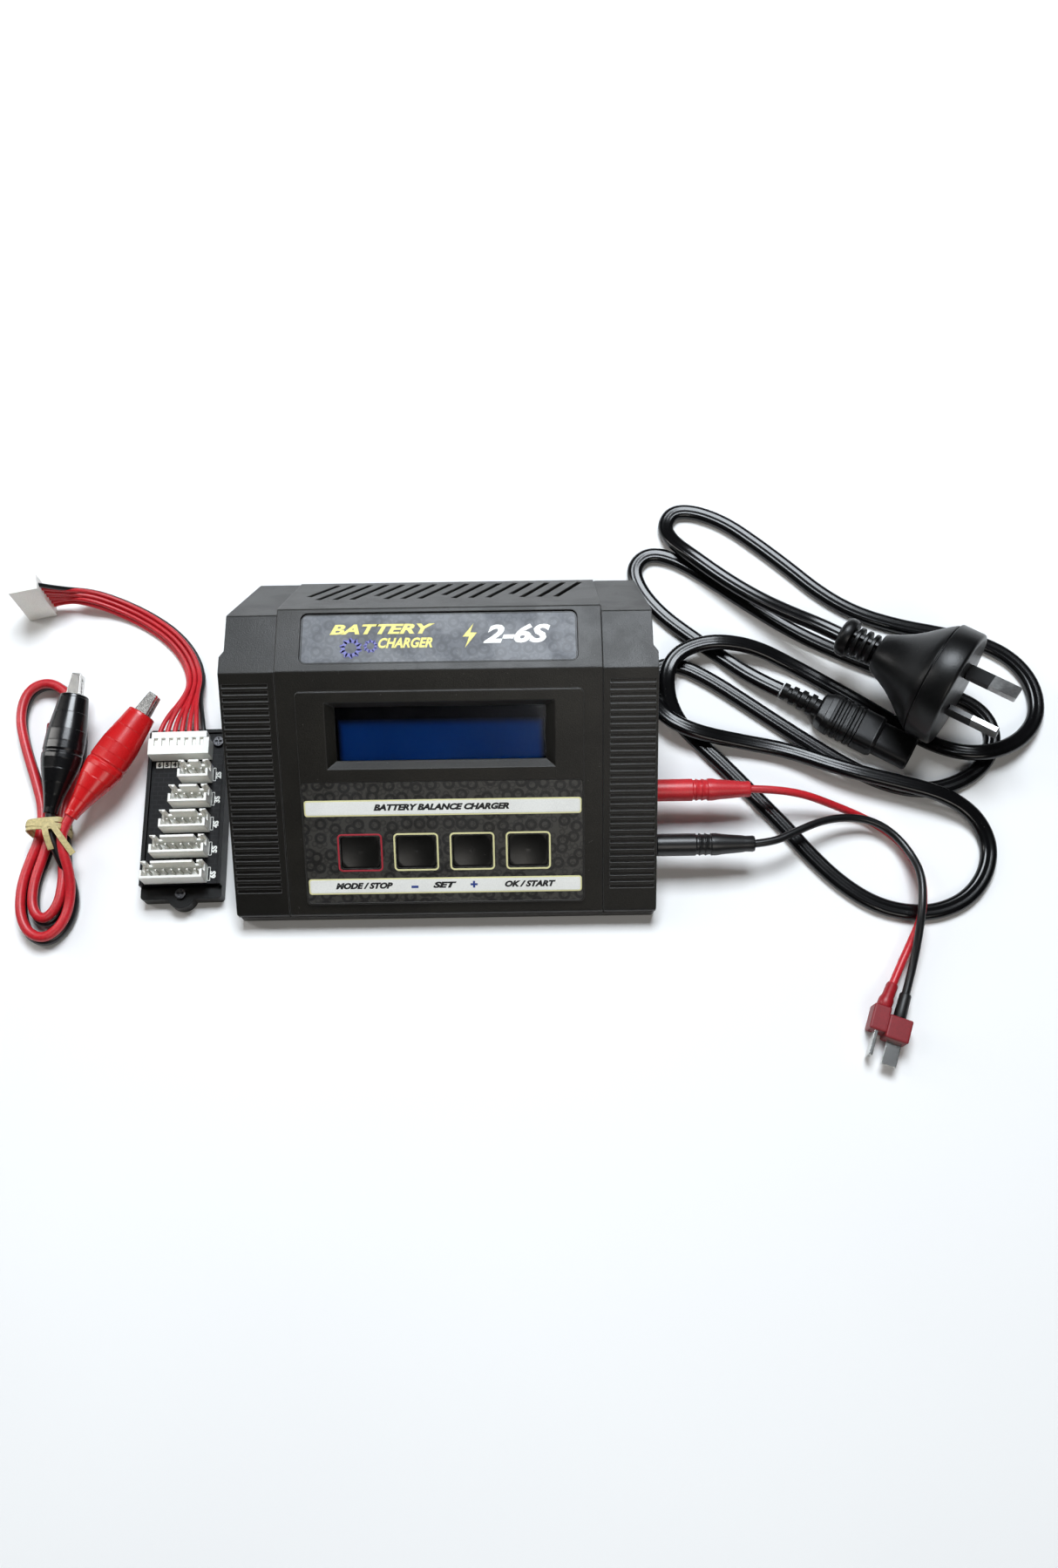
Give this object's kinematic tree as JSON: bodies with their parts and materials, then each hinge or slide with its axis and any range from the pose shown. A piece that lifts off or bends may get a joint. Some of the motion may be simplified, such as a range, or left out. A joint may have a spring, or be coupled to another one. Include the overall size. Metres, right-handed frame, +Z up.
{
  "type": "balance battery charger",
  "caption": "Mains balance charger for model batteries, with sloping display and key panel, plugged-in charge lead, loose mains lead, balance adapter board and crocodile-clip lead.",
  "frame": {"origin": "middle of the charger's footprint, on the surface it stands on", "axes": "+X to the right of someone facing the keys, +Y towards the slotted back, +Z up"},
  "size_m": [0.3516, 0.2016, 0.0534],
  "materials": {
    "case_plastic": "fine moulded grain, dark charcoal",
    "cover_plastic": "fine moulded grain, dark charcoal",
    "key_plastic": "glossy black, slightly dished",
    "printed_sheet": "printed polyester, satin",
    "window_clear": "clear acrylic",
    "display_blue": "blue liquid-crystal glass in a black can",
    "board_green": "solder-masked circuit board",
    "board_black": "black solder mask with white legends",
    "component_black": "moulded component",
    "sink_metal": "extruded aluminium",
    "capacitor_sleeve": "shrink sleeve",
    "socket_black": "glossy black",
    "socket_red": "glossy red",
    "screw_steel": "zinc-plated steel",
    "foot_rubber": "matt rubber",
    "plug_red": "satin red",
    "plug_black": "satin black",
    "pin_brass": "gold-plated brass",
    "wire_red": "soft red insulation",
    "wire_black": "soft black insulation",
    "sleeve_dark": "heat-shrink tube",
    "tplug_red": "moulded red nylon",
    "blade_metal": "plated blade",
    "cord_black": "glossy black cable sheath",
    "moulded_black": "moulded plug body",
    "header_cream": "natural nylon",
    "tray_black": "moulded tray",
    "boot_red": "soft red vinyl",
    "boot_black": "soft black vinyl",
    "jaw_metal": "nickel-plated sheet steel",
    "band_tan": "natural rubber"
  },
  "bodies": {
    "charger": {"lower_case": "case_plastic", "upper_cover": "cover_plastic", "left_side_cap": "case_plastic", "right_side_cap": "case_plastic", "lcd_window": "window_clear", "lcd_glass": "display_blue", "lcd_board": "board_green", "control_overlay": "printed_sheet", "top_label": "printed_sheet", "key_board": "board_green", "clip_lead_socket": "tplug_red", "main_board": "board_green", "heat_sink": "sink_metal", "transformer": "component_black", "capacitors": "capacitor_sleeve", "fan_frame": "component_black", "case_screws": "screw_steel", "rubber_feet": "foot_rubber", "charge_socket_red": "socket_red", "charge_socket_black": "socket_black", "balance_socket": "header_cream", "mains_inlet": "socket_black", "charge_plug_red": "plug_red", "charge_plug_black": "plug_black", "charge_pins": "pin_brass", "charge_wire_red": "wire_red", "charge_wire_black": "wire_black", "charge_lead_sleeves": "sleeve_dark", "t_plug_body": "tplug_red", "t_plug_blades": "blade_metal", "mains_cord": "cord_black", "mains_plug_body": "moulded_black", "mains_plug_blades": "blade_metal", "appliance_connector": "moulded_black", "adapter_tray": "tray_black", "adapter_board": "board_black", "header_2s": "header_cream", "header_3s": "header_cream", "header_4s": "header_cream", "header_5s": "header_cream", "header_6s": "header_cream", "inlet_header": "header_cream", "header_pins": "pin_brass", "adapter_screws": "screw_steel", "harness_plug": "header_cream", "harness_bundle": "wire_red", "harness_end_plug": "header_cream", "clip_boot_red": "boot_red", "clip_boot_black": "boot_black", "clip_lower_jaw_red": "jaw_metal", "clip_lower_jaw_black": "jaw_metal", "clip_lead_hank": "wire_red", "rubber_band": "band_tan"},
    "key_stop_push": {"key_stop": "key_plastic"},
    "key_minus_push": {"key_minus": "key_plastic"},
    "key_plus_push": {"key_plus": "key_plastic"},
    "key_start_push": {"key_start": "key_plastic"},
    "fan_rotor_body": {"fan_rotor": "component_black"},
    "red_jaw": {"clip_upper_jaw_red": "jaw_metal"},
    "black_jaw": {"clip_upper_jaw_black": "jaw_metal"}
  },
  "joints": [
    {"name": "stop_travel", "type": "slide", "parent": "charger", "child": "key_stop_push", "axis": [0, 0.5844, -0.8115], "range_m": [0, 0.00055], "stiffness_N_per_m": 400, "springref_m": -0.0001},
    {"name": "minus_travel", "type": "slide", "parent": "charger", "child": "key_minus_push", "axis": [0, 0.5844, -0.8115], "range_m": [0, 0.00055], "stiffness_N_per_m": 400, "springref_m": -0.0001},
    {"name": "plus_travel", "type": "slide", "parent": "charger", "child": "key_plus_push", "axis": [0, 0.5844, -0.8115], "range_m": [0, 0.00055], "stiffness_N_per_m": 400, "springref_m": -0.0001},
    {"name": "start_travel", "type": "slide", "parent": "charger", "child": "key_start_push", "axis": [0, 0.5844, -0.8115], "range_m": [0, 0.00055], "stiffness_N_per_m": 400, "springref_m": -0.0001},
    {"name": "fan_spin", "type": "hinge", "parent": "charger", "child": "fan_rotor_body", "pos_m": [0, 0.0323, 0.02753], "axis": [0, 0.7863, 0.6178], "continuous": true},
    {"name": "red_jaw_open", "type": "hinge", "parent": "charger", "child": "red_jaw", "pos_m": [-0.10132, 0.01035, 0.01362], "axis": [0.8526, -0.5225, 0], "range_deg": [0, 20], "stiffness_Nm_per_rad": 0.05, "springref_deg": -5.73},
    {"name": "black_jaw_open", "type": "hinge", "parent": "charger", "child": "black_jaw", "pos_m": [-0.12412, 0.01693, 0.01362], "axis": [0.9936, -0.1132, 0], "range_deg": [0, 20], "stiffness_Nm_per_rad": 0.05, "springref_deg": -5.73}
  ]
}
